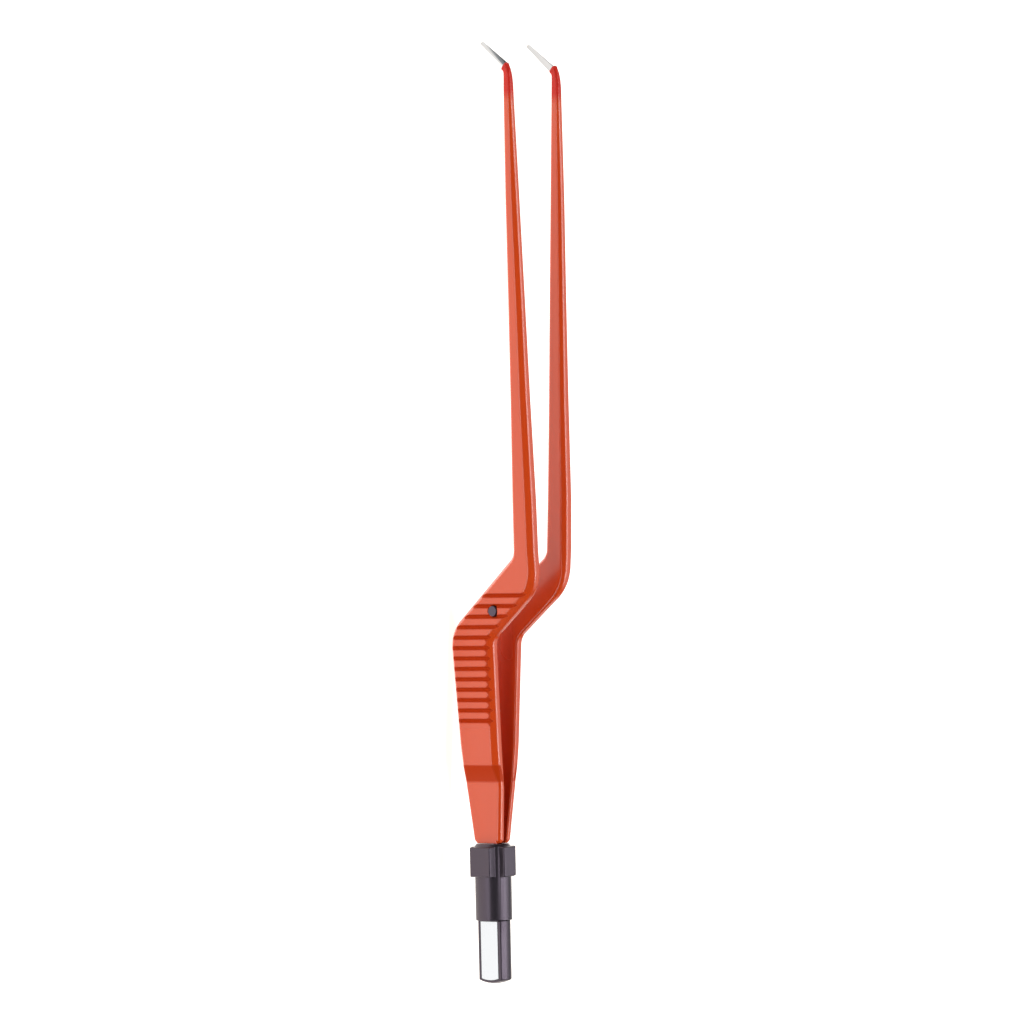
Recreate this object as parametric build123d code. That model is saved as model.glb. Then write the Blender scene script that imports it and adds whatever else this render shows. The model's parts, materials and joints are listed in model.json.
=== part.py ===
from build123d import *
import math
import os

# Bipolar forceps with bayonet arms and up-angled tips, on a flat two-pole plug. Millimetres.
# Everything is drawn in the plug's own frame and laid down at the end:
# x runs from the plug's end face to the tips, y is the side that the bayonet steps to,
# and z is the direction in which the arms open, with z = 0 midway between them.
# The arms' own sizes count x from the coat's lower end, so that they move with the plug.

# Plug
tongue_length = 14.8
tongue_radius = 3.85
tongue_thickness = 4.1
tongue_dome = 0.9
barrel_radius = 4.27
barrel_length = 10.25
pad_length = 6.95
pad_distance = 5.05
wide_pad_width = 6.0
narrow_pad_width = 4.0
pad_rounding = 0.35
neck_length = 0.68
neck_top_radius = 3.85
spigot_radius = 3.0
spigot_length = 9.2
contact_width = 5.0
contact_thickness = 0.5
contact_rim = 0.8
contact_stop = 0.25
contact_bend = 0.5
contact_tail_width = 3.6
contact_tail_drop = 0.2
contact_tail_gap = 0.3
seal_radius = 3.35
seal_depth = 1.4

# Arm roots in the housing
tang_width = 4.2
tang_length = 6.4
tang_play = 0.25
pivot_depth = 3.85
root_gap = 0.12

# Arm outline, seen along z: corners of its two long edges as (x, y, corner radius)
root_corner_radius = 1.2
root_half_width = 3.9
lower_knee_radius_outside = 8.5
lower_knee_radius_inside = 3.5
upper_knee_radius_inside = 3.0
upper_knee_radius_outside = 10.0
shaft_offset = 17.05
tip_bend_radius_inside = 1.4
tip_bend_radius_outside = 1.4
tip_bend_x = 179.8
tip_angle = 50.0
coat_end_past_bend = 1.2
coat_end_half_width = 1.0
arc_steps = 8

# Bare tips
tip_length = 10.4
tip_half_width = 0.5
tip_root_half_width = 0.9
tip_thickness = 0.65
tip_bevel = 0.16
tip_back_bevel = 0.6
tip_inner_z = 8.4
tip_overlap = 0.5

# Side view, against x: inner face, thickness over the coat, and 45 degree bevels
inner_face = [(0, 0.46), (12.2, 1.25), (23.2, 2.3), (45.2, 3.5), (68.2, 4.35), (181.2, 8.22)]
thickness = [(0, 1.8), (14.4, 1.8), (18.5, 2.9), (45.2, 3.0), (54.2, 3.2), (68.2, 3.95),
             (80.2, 3.95), (103.2, 3.56), (126.2, 3.1), (150.2, 2.8), (175.2, 2.0), (181.2, 1.6)]
outer_bevel = [(0, 0.6), (14.4, 0.6), (18.5, 1.3), (54.2, 1.3), (68.2, 1.05), (80.2, 1.05),
               (103.2, 0.9), (150.2, 0.75), (175.2, 0.45), (181.2, 0.35)]
inner_bevel = [(0, 0.25), (54.2, 0.35), (68.2, 1.05), (80.2, 1.05), (103.2, 0.9), (150.2, 0.75),
               (175.2, 0.45), (181.2, 0.35)]
coat_wall = [(0, 0.35), (150.2, 0.3), (175.2, 0.2), (181.2, 0.12)]

# Finger grip ribs
groove_count = 13
groove_first = 28.8
groove_pitch = 2.434
groove_floor = 0.5
groove_mouth = 1.3
groove_depth = 0.45
shoulder_width = 0.3
shoulder_depth = 0.35

# Stop pin, which keeps the grips apart once the tips have met
pin_x = 54.4
pin_y = 7.2
pin_radius = 1.2
pin_proud = 0.15
pin_reach = 2.35
pin_rounding = 0.15

# How far cutters run past what they cut
overrun = 2.0
groove_half_length = 40.0


def along(table, x):
    """Reads a table of (x, value) at x, straight between its rows."""
    if x <= table[0][0]:
        return table[0][1]
    for (x0, v0), (x1, v1) in zip(table, table[1:]):
        if x <= x1:
            return v0 + (v1 - v0) * (x - x0) / (x1 - x0)
    return table[-1][1]


barrel_start = tongue_length
pad_start = barrel_start + barrel_length
pad_end = pad_start + pad_length
collar_face = pad_end + neck_length
coat_start = collar_face + root_gap
tang_start = collar_face - tang_length
pivot_x = collar_face - pivot_depth
pivot_z = along(inner_face, 0) + along(thickness, 0) / 2
dome_radius = (tongue_radius**2 + tongue_dome**2) / (2 * tongue_dome)
bevel_shrink = 2 - math.sqrt(2)
arm_place = Pos(coat_start, 0, 0)


def tip_point(distance, sideways=0.0):
    """A point on the angled tip: so far past the bend, and so far to its +y side."""
    turn = math.radians(tip_angle)
    x = tip_bend_x + distance * math.cos(turn) + sideways * math.sin(turn)
    y = shaft_offset - distance * math.sin(turn) + sideways * math.cos(turn)
    return x, y


def long_edges():
    """Corners of the arm's -y edge and +y edge, in matching order."""
    tip_lean = math.tan(math.radians(tip_angle / 2))
    lower = [
        (0, 0, 0),
        (0, -root_half_width, root_corner_radius),
        (13.2, -5.25, 0),
        (23.2, -5.8, 0),
        (49.6, -6.7, lower_knee_radius_outside),
        (67.1, 13.8, upper_knee_radius_inside),
        (80.2, shaft_offset - 2.93, 0),
        (103.2, shaft_offset - 2.4, 0),
        (126.2, shaft_offset - 2.08, 0),
        (150.2, shaft_offset - 1.7, 0),
        (175.2, shaft_offset - 1.1, 0),
        (tip_bend_x - coat_end_half_width * tip_lean, shaft_offset - coat_end_half_width,
         tip_bend_radius_inside),
        (*tip_point(coat_end_past_bend, -coat_end_half_width), 0),
    ]
    upper = [
        (0, 0, 0),
        (0, root_half_width, root_corner_radius),
        (13.2, 5.2, 0),
        (23.2, 5.5, 0),
        (47.9, 5.9, lower_knee_radius_inside),
        (59.7, 19.9, upper_knee_radius_outside),
        (80.2, shaft_offset + 2.93, 0),
        (103.2, shaft_offset + 2.4, 0),
        (126.2, shaft_offset + 2.08, 0),
        (150.2, shaft_offset + 1.7, 0),
        (175.2, shaft_offset + 1.1, 0),
        (tip_bend_x + coat_end_half_width * tip_lean, shaft_offset + coat_end_half_width,
         tip_bend_radius_outside),
        (*tip_point(coat_end_past_bend, coat_end_half_width), 0),
    ]
    return lower, upper


def edge_points(corners, side, wall):
    """Points along one long edge, set in by the wall table, with its rounded corners.

    side is 1 for the -y edge, whose inside is to its left, and -1 for the +y edge.
    """
    headings = [
        math.atan2(b[1] - a[1], b[0] - a[0]) for a, b in zip(corners, corners[1:])
    ]
    points = []
    for i in range(1, len(corners)):
        x, y, radius = corners[i]
        before = headings[i - 1]
        after = headings[min(i, len(headings) - 1)]
        turn = math.remainder(after - before, 2 * math.pi)
        inset = side * along(wall, x)
        middle = before + turn / 2
        x -= inset * math.sin(middle) / math.cos(turn / 2)
        y += inset * math.cos(middle) / math.cos(turn / 2)
        if radius == 0:
            points.append((x, y))
            continue
        radius -= inset * math.copysign(1, turn)
        reach = radius * math.tan(abs(turn) / 2)
        start_x = x - reach * math.cos(before)
        start_y = y - reach * math.sin(before)
        bend = math.copysign(radius, turn)
        for step in range(arc_steps + 1):
            heading = before + turn * step / arc_steps
            points.append((
                start_x + bend * (math.sin(heading) - math.sin(before)),
                start_y - bend * (math.cos(heading) - math.cos(before)),
            ))
    return points


def section(a, b, faces, bevels):
    """Eight-sided section between edge points a and b, in the plane that holds z.

    faces(x) gives the inner and outer z at x, bevels(x) the inner and outer bevel there.
    """
    length = math.dist(a, b)
    ux, uy = (b[0] - a[0]) / length, (b[1] - a[1]) / length

    def corner(edge, inwards, outer, drop):
        inner_leg, outer_leg = bevels(edge[0])
        leg = outer_leg if outer else inner_leg
        x = edge[0] + inwards * leg * ux
        y = edge[1] + inwards * leg * uy
        inner_z, outer_z = faces(x)
        z = outer_z - drop * leg if outer else inner_z + drop * leg
        return Vector(x, y, z)

    return Wire.make_polygon([
        corner(a, 1, False, 0),
        corner(b, -1, False, 0),
        corner(b, 0, False, 1),
        corner(b, 0, True, 1),
        corner(b, -1, True, 0),
        corner(a, 1, True, 0),
        corner(a, 0, True, 1),
        corner(a, 0, False, 1),
    ], close=True)


def arm_sections(wall):
    """Sections of the arm from its root to the end of the coat, set in by a wall table."""
    lower, upper = long_edges()

    def faces(x):
        inset = along(wall, x)
        inner_z = along(inner_face, x)
        return inner_z + inset, inner_z + along(thickness, x) - inset

    def bevels(x):
        shrink = bevel_shrink * along(wall, x)
        inner_leg = along(inner_bevel, x) - shrink
        return max(inner_leg, tip_bevel / 4), along(outer_bevel, x) - shrink

    pairs = zip(edge_points(lower, 1, wall), edge_points(upper, -1, wall))
    return [section(a, b, faces, bevels) for a, b in pairs]


def tip_sections():
    """Sections of the bare tip, flat inside with a faceted round back, to its rounded point."""
    root_x = tip_point(coat_end_past_bend)[0]
    wall = along(coat_wall, root_x)
    root_inner = along(inner_face, root_x) + wall
    root_outer = root_inner + along(thickness, root_x) - 2 * wall
    cap_start = tip_length - tip_half_width
    stops = [(coat_end_past_bend - tip_overlap, 1.0), (coat_end_past_bend, 1.0), (cap_start, 1.0)]
    for degrees in (30, 55, 75):
        cap = math.radians(degrees)
        stops.append((cap_start + tip_half_width * math.sin(cap), math.cos(cap)))
    wires = []
    for distance, share in stops:
        t = (distance - coat_end_past_bend) / (cap_start - coat_end_past_bend)
        t = min(max(t, 0.0), 1.0)
        half = (tip_root_half_width + (tip_half_width - tip_root_half_width) * t) * share
        inner_z = root_inner + (tip_inner_z - root_inner) * t
        outer_z = root_outer + (tip_inner_z + tip_thickness - root_outer) * t
        legs = min(tip_bevel, half / 2), tip_back_bevel * half
        wires.append(section(
            tip_point(distance, -half),
            tip_point(distance, half),
            lambda x, z0=inner_z, z1=outer_z: (z0, z1),
            lambda x, legs=legs: legs,
        ))
    return wires


def grooves(inset):
    """Cutters for the finger grip: a row of grooves with convex shoulders, across the arm.

    inset widens each groove and sets it deeper, for the metal under the coat.
    """
    cutters = []
    for i in range(groove_count):
        x = groove_first + i * groove_pitch
        face = along(inner_face, x) + along(thickness, x)
        floor, mouth = groove_floor / 2 + inset, groove_mouth / 2 + inset
        bottom, top = face - groove_depth - inset, face - inset
        slope = (along(inner_face, x + 1) + along(thickness, x + 1)
                 - along(inner_face, x - 1) - along(thickness, x - 1)) / 2
        shoulder = shoulder_width * (mouth - floor)
        with BuildSketch(Plane.XZ.offset(-groove_half_length)) as profile:
            with BuildLine():
                left = ThreePointArc((x - mouth, top - slope * mouth),
                                     (x - floor - shoulder, top - groove_depth * shoulder_depth),
                                     (x - floor, bottom))
                Line(left @ 1, (x + floor, bottom))
                right = ThreePointArc((x + floor, bottom),
                                      (x + floor + shoulder, top - groove_depth * shoulder_depth),
                                      (x + mouth, top + slope * mouth))
                Polyline(right @ 1, (x + mouth, top + overrun), (x - mouth, top + overrun), left @ 0)
            make_face()
        cutters.append(extrude(profile.sketch, 2 * groove_half_length))
    return cutters


def round_bar(radius, start, end):
    """A round bar along x."""
    return extrude(Plane.YZ.offset(start) * Circle(radius), end - start)


def block(start, end, y_size, z0, z1):
    """A block along x, centred on y, between two heights."""
    return Pos((start + end) / 2, 0, (z0 + z1) / 2) * Box(end - start, y_size, z1 - z0)


def upright_bar(x, y, radius, z0, z1):
    """A round bar along z."""
    return Pos(x, y, (z0 + z1) / 2) * Cylinder(radius, z1 - z0)


def tang(play):
    """The narrow root of the +z arm's blade in the housing, or with play its pocket there."""
    wall = along(coat_wall, 0)
    inner_z = along(inner_face, 0) + wall
    outer_z = inner_z + along(thickness, 0) - 2 * wall
    end = collar_face + overrun if play else coat_start + 2 * wall
    return block(tang_start - play, end, tang_width + 2 * play, inner_z - play, outer_z + play)


def make_arm():
    """The +z arm's blade, with its tip and tang, and its coat."""
    metal = loft([Face(wire) for wire in arm_sections(coat_wall)], ruled=True)
    skin = loft([Face(wire) for wire in arm_sections([(0, 0)])], ruled=True)
    tip = loft([Face(wire) for wire in tip_sections()], ruled=True)
    for cutter in grooves(along(coat_wall, groove_first)):
        metal -= cutter
    for cutter in grooves(0):
        skin -= cutter
    blade = arm_place * (metal + tip) + tang(0)
    return blade, arm_place * skin - blade


def pin_bar():
    """The +z arm's stop pin before its ends are rounded, which also cuts the hole for it."""
    inner_z = along(inner_face, pin_x)
    top = inner_z + along(thickness, pin_x) + pin_proud
    return arm_place * upright_bar(pin_x, pin_y, pin_radius, inner_z - pin_reach, top)


def make_stop_pin():
    """The insulating pin through one arm, rounded at both ends, reaching for the other arm."""
    pin = pin_bar()
    return fillet(pin.edges().filter_by(GeomType.CIRCLE), pin_rounding)


def make_contact():
    """The +z contact strip: its plate on the tongue, and its tail set deeper in the barrel."""
    half = contact_width / 2
    plate_end = barrel_start - contact_stop
    end_radius = dome_radius - contact_rim
    corner = dome_radius - math.sqrt(end_radius**2 - half**2)
    with BuildSketch(Plane.XY) as outline:
        with BuildLine():
            end = ThreePointArc((corner, -half), (contact_rim, 0), (corner, half))
            Polyline(end @ 1, (plate_end, half), (plate_end, -half), end @ 0)
        make_face()
    floor = tongue_thickness / 2 - contact_thickness
    plate = Pos(0, 0, floor) * extrude(outline.sketch, contact_thickness)
    tail_floor = floor - contact_tail_drop
    return plate + block(plate_end - contact_bend, tang_start - contact_tail_gap,
                         contact_tail_width, tail_floor, tail_floor + contact_thickness)


def make_carrier(contacts):
    """The insulating tongue with its domed end and the spigot that holds it in the barrel."""
    tongue = round_bar(tongue_radius, 0, barrel_start)
    tongue &= block(-overrun, barrel_start, 2 * tongue_radius,
                    -tongue_thickness / 2, tongue_thickness / 2)
    tongue &= Pos(dome_radius, 0, 0) * Sphere(dome_radius) + round_bar(
        tongue_radius + overrun, dome_radius, barrel_start)
    carrier = tongue + round_bar(spigot_radius, barrel_start, barrel_start + spigot_length)
    for contact in contacts:
        carrier -= contact
    return carrier


def make_housing(contacts, pockets):
    """The moulded barrel and collar, with four pads, a mouth for the seal and two pockets."""
    housing = round_bar(barrel_radius, barrel_start, pad_end)
    neck = Cone(barrel_radius, neck_top_radius, neck_length)
    housing += Plane.YZ.offset(pad_end + neck_length / 2) * neck
    for turn in range(4):
        width = narrow_pad_width if turn % 2 else wide_pad_width
        pad = block(pad_start, pad_end, width, 0, pad_distance)
        pad = fillet(pad.faces().sort_by(Axis.Z)[-1].edges(), pad_rounding)
        housing += Rot(X=90 * turn) * pad
    housing -= round_bar(spigot_radius, barrel_start, barrel_start + spigot_length)
    housing -= round_bar(seal_radius, collar_face - seal_depth, collar_face)
    for cutter in contacts + pockets:
        housing -= cutter
    return housing


def make_seal(pockets):
    """The potting in the collar's mouth, round both tangs."""
    seal = round_bar(seal_radius, collar_face - seal_depth, collar_face)
    for pocket in pockets:
        seal -= pocket
    return seal


def other_side(shape):
    """The same shape on the -z side."""
    return mirror(shape, about=Plane.XY)


def knee_centre():
    """Centre of the round that the arm's -y edge makes at the lower knee."""
    lower, _ = long_edges()
    before, knee, after = lower[3], lower[4], lower[5]
    heading = math.atan2(knee[1] - before[1], knee[0] - before[0])
    turn = math.atan2(after[1] - knee[1], after[0] - knee[0]) - heading
    reach = knee[2] * math.tan(turn / 2)
    x = knee[0] - reach * math.cos(heading) - knee[2] * math.sin(heading)
    y = knee[1] - reach * math.sin(heading) + knee[2] * math.cos(heading)
    return x, y


def resting_frame():
    """The plug's frame as it lies with both knees and both tips on a table."""
    knee_x, knee_y = knee_centre()
    end_x, end_y = tip_point(tip_length - tip_half_width)
    run, rise = end_x - knee_x, end_y - knee_y
    difference = lower_knee_radius_outside - tip_half_width
    pitch = math.asin(difference / math.hypot(run, rise)) + math.atan2(rise, run)
    return Plane(
        origin=(0, 0, 0),
        x_dir=(-math.cos(pitch), 0, -math.sin(pitch)),
        z_dir=(0, 1, 0),
    )


def lay_down(shapes):
    """Lays the parts on the table, centred on their footprint, with the table at z = 0."""
    frame = resting_frame().location
    laid = {name: frame * shape for name, shape in shapes.items()}
    box = Compound(list(laid.values())).bounding_box()
    centre = box.center()
    shift = Pos(-centre.X, -centre.Y, -box.min.Z)
    return {name: shift * shape for name, shape in laid.items()}, shift * frame


def make_forceps():
    """Every piece by name, in the plug's own frame."""
    contact = make_contact()
    contacts = [contact, other_side(contact)]
    pocket = tang(tang_play)
    pockets = [pocket, other_side(pocket)]
    blade, coat = make_arm()
    return {
        "plug_housing": make_housing(contacts, pockets),
        "contact_carrier": make_carrier(contacts),
        "right_contact": contacts[0],
        "left_contact": contacts[1],
        "potting_seal": make_seal(pockets),
        "right_blade": blade,
        "right_coating": coat,
        "left_blade": other_side(blade - pin_bar()),
        "left_coating": other_side(coat - pin_bar()),
        "stop_pin": other_side(make_stop_pin()),
    }


def main():
    parts, _ = lay_down(make_forceps())
    os.makedirs("parts", exist_ok=True)
    for name, shape in parts.items():
        export_step(shape, f"parts/{name}.step")


if __name__ == "__main__":
    main()
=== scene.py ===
"""Bipolar forceps, dressed: coated bayonet arms, bare steel tips and a flat two-pole plug.

Lengths are in millimetres in the plug's own frame: l runs from the plug's end face to the
tips, w is the side that the bayonet steps to, and t is the way the arms open. PlugFrame
turns them into metres in the row's frame.
"""

import json
import logging
import math
from dataclasses import dataclass, field
from enum import Enum
from typing import ClassVar

import bmesh
import bpy
import numpy as np
from mathutils import Matrix, Vector

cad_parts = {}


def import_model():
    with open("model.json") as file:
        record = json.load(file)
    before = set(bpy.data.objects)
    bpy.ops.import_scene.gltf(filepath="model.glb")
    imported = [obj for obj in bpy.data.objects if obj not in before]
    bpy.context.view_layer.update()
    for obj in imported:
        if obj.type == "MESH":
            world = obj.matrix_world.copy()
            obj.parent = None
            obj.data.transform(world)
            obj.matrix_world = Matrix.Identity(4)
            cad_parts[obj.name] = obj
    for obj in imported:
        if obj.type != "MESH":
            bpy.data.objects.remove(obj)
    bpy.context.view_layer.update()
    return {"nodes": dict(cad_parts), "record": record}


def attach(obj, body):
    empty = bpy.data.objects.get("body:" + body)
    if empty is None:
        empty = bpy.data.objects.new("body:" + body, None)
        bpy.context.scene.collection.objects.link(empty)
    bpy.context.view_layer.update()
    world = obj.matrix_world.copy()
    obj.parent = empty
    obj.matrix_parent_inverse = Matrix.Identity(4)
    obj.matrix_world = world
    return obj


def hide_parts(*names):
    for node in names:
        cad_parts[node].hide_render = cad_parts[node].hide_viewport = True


MM = 0.001
PHOTO_PIXELS = 1024
TONGUE_LENGTH = 14.8

log = logging.getLogger("forceps")

Table = tuple[tuple[float, float], ...]


class Side(Enum):
    """The two arms, by the sign of t."""

    LEFT = -1
    RIGHT = 1

    @property
    def word(self) -> str:
        """The arm's name, as the nodes have it."""
        return self.name.lower()


def linear(hex_colour: str) -> tuple[float, float, float, float]:
    """Turns an sRGB hex colour into a linear one.

    Args:
        hex_colour: A colour such as "#C8380F".

    Returns:
        Red, green, blue and an alpha of 1, linear.
    """
    parts = [int(hex_colour[i:i + 2], 16) / 255 for i in (1, 3, 5)]
    curve = [c / 12.92 if c <= 0.04045 else ((c + 0.055) / 1.055) ** 2.4 for c in parts]
    return (*curve, 1.0)


def add_node(
    tree: bpy.types.NodeTree,
    kind: str,
    settings: dict[str, object] | None = None,
    inputs: dict[str | int, object] | None = None,
) -> bpy.types.Node:
    """Adds a node to a tree, with its settings, values and links.

    Args:
        tree: The node tree.
        kind: The node's type, such as "ShaderNodeBump".
        settings: The node's own properties.
        inputs: Socket name or number to a value, or to the socket that feeds it.

    Returns:
        The new node.
    """
    node = tree.nodes.new(kind)
    for name, value in (settings or {}).items():
        setattr(node, name, value)
    for name, value in (inputs or {}).items():
        if isinstance(value, bpy.types.NodeSocket):
            tree.links.new(value, node.inputs[name])
        else:
            node.inputs[name].default_value = value
    return node


def new_material(name: str) -> tuple[bpy.types.Material, bpy.types.NodeTree]:
    """Makes an empty node material.

    Args:
        name: The material's name.

    Returns:
        The material and its node tree, which holds nothing yet.
    """
    material = bpy.data.materials.new(name)
    material.use_nodes = True
    material.node_tree.nodes.clear()
    return material, material.node_tree


def place_sockets(tree: bpy.types.NodeTree) -> bpy.types.NodeSocket:
    """Gives the point on the piece in the row's frame, in metres, as a socket."""
    return add_node(tree, "ShaderNodeTexCoord").outputs["Object"]


def close_tree(tree: bpy.types.NodeTree, shader: bpy.types.Node) -> None:
    """Links a shader to the material's output."""
    add_node(tree, "ShaderNodeOutputMaterial", inputs={"Surface": shader.outputs[0]})


@dataclass(frozen=True)
class PlugFrame:
    """The plug's own frame in the row's frame: its end face's centre and three axes."""

    origin: Vector
    along: Vector
    up: Vector
    across: Vector

    @classmethod
    def from_record(cls, record: dict, tongue_length: float) -> "PlugFrame":
        """Finds the frame from the plug tongue's mount.

        Args:
            record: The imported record.
            tongue_length: From the plug's end face to the barrel, with the mount half-way.

        Returns:
            The plug's frame.
        """
        mount = next(m for m in record["mounts"] if m["name"] == "plug_tongue")
        along = -Vector(mount["axis"]).normalized()
        across = Vector((0, 1, 0))
        up = across.cross(along)
        origin = Vector(mount["pos_m"]) - along * (tongue_length / 2) * MM
        return cls(origin, along, up, across)

    def matrix(self) -> Matrix:
        """Works out the matrix from plug millimetres to row metres.

        Returns:
            The matrix.
        """
        columns = [axis * MM for axis in (self.along, self.up, self.across)]
        rows = [[columns[c][r] for c in range(3)] + [self.origin[r]] for r in range(3)]
        return Matrix([*rows, [0, 0, 0, 1]])

    def point(self, l: float, w: float, t: float) -> Vector:
        """One point in the row's frame, in metres."""
        return self.matrix() @ Vector((l, w, t))


def read_table(table: Table, x: np.ndarray) -> np.ndarray:
    """Reads a table of (x, value) rows at several x, straight between its rows."""
    return np.interp(x, [row[0] for row in table], [row[1] for row in table])


def softer_min(a: np.ndarray, b: np.ndarray, width: float) -> np.ndarray:
    """The smaller of two arrays, with the change between them rounded over a width."""
    blend = np.clip(0.5 + 0.5 * (b - a) / width, 0, 1)
    return b + (a - b) * blend - width * blend * (1 - blend)


def mesh_from_rings(name: str, rings: np.ndarray, flip: bool, frame: PlugFrame) -> bpy.types.Object:
    """Skins closed rings of points into one closed smooth mesh object.

    Args:
        name: The object's name.
        rings: Points as rings by points by 3, in plug millimetres.
        flip: Whether to turn the faces round.
        frame: The plug's frame.

    Returns:
        The linked object.
    """
    count, size, _ = rings.shape
    index = np.arange(count * size).reshape(count, size)
    after = np.roll(index, -1, axis=1)
    quads = np.stack([index[:-1], after[:-1], after[1:], index[1:]], axis=-1).reshape(-1, 4)
    faces = [*quads.tolist(), index[0][::-1].tolist(), index[-1].tolist()]
    if flip:
        faces = [face[::-1] for face in faces]
    mesh = bpy.data.meshes.new(name)
    mesh.from_pydata(rings.reshape(-1, 3).tolist(), [], faces)
    mesh.transform(frame.matrix())
    mesh.shade_smooth()
    mesh.update()
    piece = bpy.data.objects.new(name, mesh)
    bpy.context.scene.collection.objects.link(piece)
    return piece


def join(base: bpy.types.Object, other: bpy.types.Object) -> bpy.types.Object:
    """Adds one object's mesh to another's and drops the first object.

    Args:
        base: The object that stays.
        other: The object whose mesh is taken over.

    Returns:
        The object that stays.
    """
    work = bmesh.new()
    work.from_mesh(base.data)
    work.from_mesh(other.data)
    work.to_mesh(base.data)
    work.free()
    bpy.data.objects.remove(other)
    return base


def soften(piece: bpy.types.Object, degrees: float) -> None:
    """Keeps edges sharper than an angle crisp in a smoothly shaded mesh."""
    piece.data.set_sharp_from_angle(angle=math.radians(degrees))


@dataclass(frozen=True)
class NylonCoat:
    """Polyamide 11 powder fused on warm steel: a thick, wet-looking orange-red skin.

    The eye sees a saturated body colour, reflections softened by a faint orange peel, and a
    redder coat where it was drawn down at the tips. A point attribute on the mesh lays painted
    shade: a duller and deeper colour in the grip's grooves and on the root's step, and a
    near-black one round the pin, with the gloss and the lacquer dimmed there too.
    """

    name: str = "fused_nylon_coat"
    body: str = "#D0440E"
    tip_body: str = "#C52C22"
    roughness: float = 0.24
    ior: float = 1.53
    peel_size: float = 1.4
    peel_depth: float = 0.006
    drift_size: float = 14.0
    drift_shade: float = 0.93
    roughness_spread: tuple[float, float] = (0.8, 1.3)
    red_starts: float = 205.0
    red_full: float = 207.6
    red_gloss: float = 0.3
    # Painted shade: the colour laid in the grip's grooves and on the root's step.
    recess_painted_shade: str = "#B23408"
    # Painted shade: the near-black colour laid round the pin.
    seat_painted_shade: str = "#1E0F0C"
    lacquer: float = 0.42
    lacquer_roughness: float = 0.2
    recess_roughness: float = 0.5
    face_gloss: float = 0.5
    recess_gloss: float = 0.06
    # The point attribute that carries the painted shade.
    painted_shade_layer: ClassVar[str] = "recess"

    def make(self, frame: PlugFrame) -> bpy.types.Material:
        """Builds the material.

        Args:
            frame: The plug's frame, along which the colour turns redder.

        Returns:
            The finished material.
        """
        material, tree = new_material(self.name)
        place = place_sockets(tree)
        offset = add_node(tree, "ShaderNodeVectorMath", {"operation": "SUBTRACT"},
                          {0: place, 1: frame.origin})
        reach = add_node(tree, "ShaderNodeVectorMath", {"operation": "DOT_PRODUCT"},
                         {0: offset.outputs[0], 1: frame.along})
        redness = add_node(tree, "ShaderNodeMapRange", inputs={
            "Value": reach.outputs["Value"],
            "From Min": self.red_starts * MM,
            "From Max": self.red_full * MM,
        })
        drift = add_node(tree, "ShaderNodeTexNoise", inputs={
            "Vector": place, "Scale": 1 / (self.drift_size * MM), "Detail": 2.0})
        shade = add_node(tree, "ShaderNodeMix", {"data_type": "RGBA"}, {
            0: drift.outputs["Fac"],
            6: linear(self.body),
            7: tuple(self.drift_shade * c for c in linear(self.body)[:3]) + (1.0,),
        })
        colour = add_node(tree, "ShaderNodeMix", {"data_type": "RGBA"}, {
            0: redness.outputs[0], 6: shade.outputs[2], 7: linear(self.tip_body)})
        # Paint shade into the colour: deeper in the grooves and on the step, near-black round the
        # pin.
        recess = add_node(tree, "ShaderNodeAttribute", {"attribute_name": self.painted_shade_layer})
        painted_shade_share = recess.outputs["Fac"]
        colour = add_node(tree, "ShaderNodeMix", {"data_type": "RGBA"}, {
            0: painted_shade_share, 6: colour.outputs[2], 7: linear(self.recess_painted_shade)})
        seat = add_node(tree, "ShaderNodeMapRange", inputs={
            "Value": painted_shade_share, "From Min": 1.0, "From Max": 2.0})
        colour = add_node(tree, "ShaderNodeMix", {"data_type": "RGBA"}, {
            0: seat.outputs[0], 6: colour.outputs[2], 7: linear(self.seat_painted_shade)})
        peel = add_node(tree, "ShaderNodeTexNoise", inputs={
            "Vector": place, "Scale": 1 / (self.peel_size * MM), "Detail": 1.0})
        bump = add_node(tree, "ShaderNodeBump", inputs={
            "Height": peel.outputs["Fac"], "Distance": self.peel_depth * MM, "Strength": 1.0})
        rough = add_node(tree, "ShaderNodeMapRange", inputs={
            "Value": drift.outputs["Fac"],
            "To Min": self.roughness * self.roughness_spread[0],
            "To Max": self.roughness * self.roughness_spread[1],
        })
        dull = add_node(tree, "ShaderNodeMix", {"data_type": "FLOAT"}, {
            0: painted_shade_share, 2: rough.outputs[0], 3: self.recess_roughness})
        # The painted shade also dims the gloss and the lacquer in the recesses.
        gloss = add_node(tree, "ShaderNodeMapRange", inputs={
            "Value": painted_shade_share, "To Min": self.face_gloss, "To Max": self.recess_gloss})
        drawn_down = add_node(tree, "ShaderNodeMapRange", inputs={
            "Value": redness.outputs[0], "To Min": 1.0, "To Max": self.red_gloss})
        gloss = add_node(tree, "ShaderNodeMath", {"operation": "MULTIPLY"},
                         {0: gloss.outputs[0], 1: drawn_down.outputs[0]})
        lacquer = add_node(tree, "ShaderNodeMapRange", inputs={
            "Value": painted_shade_share, "To Min": self.lacquer, "To Max": 0.0})
        lacquer = add_node(tree, "ShaderNodeMath", {"operation": "MULTIPLY"},
                           {0: lacquer.outputs[0], 1: drawn_down.outputs[0]})
        shader = add_node(tree, "ShaderNodeBsdfPrincipled", inputs={
            "Base Color": colour.outputs[2],
            "Roughness": dull.outputs[0],
            "Specular IOR Level": gloss.outputs[0],
            "IOR": self.ior,
            "Coat Weight": lacquer.outputs[0],
            "Coat Roughness": self.lacquer_roughness,
            "Coat IOR": 1.5,
            "Normal": bump.outputs[0],
        })
        close_tree(tree, shader)
        return material


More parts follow.
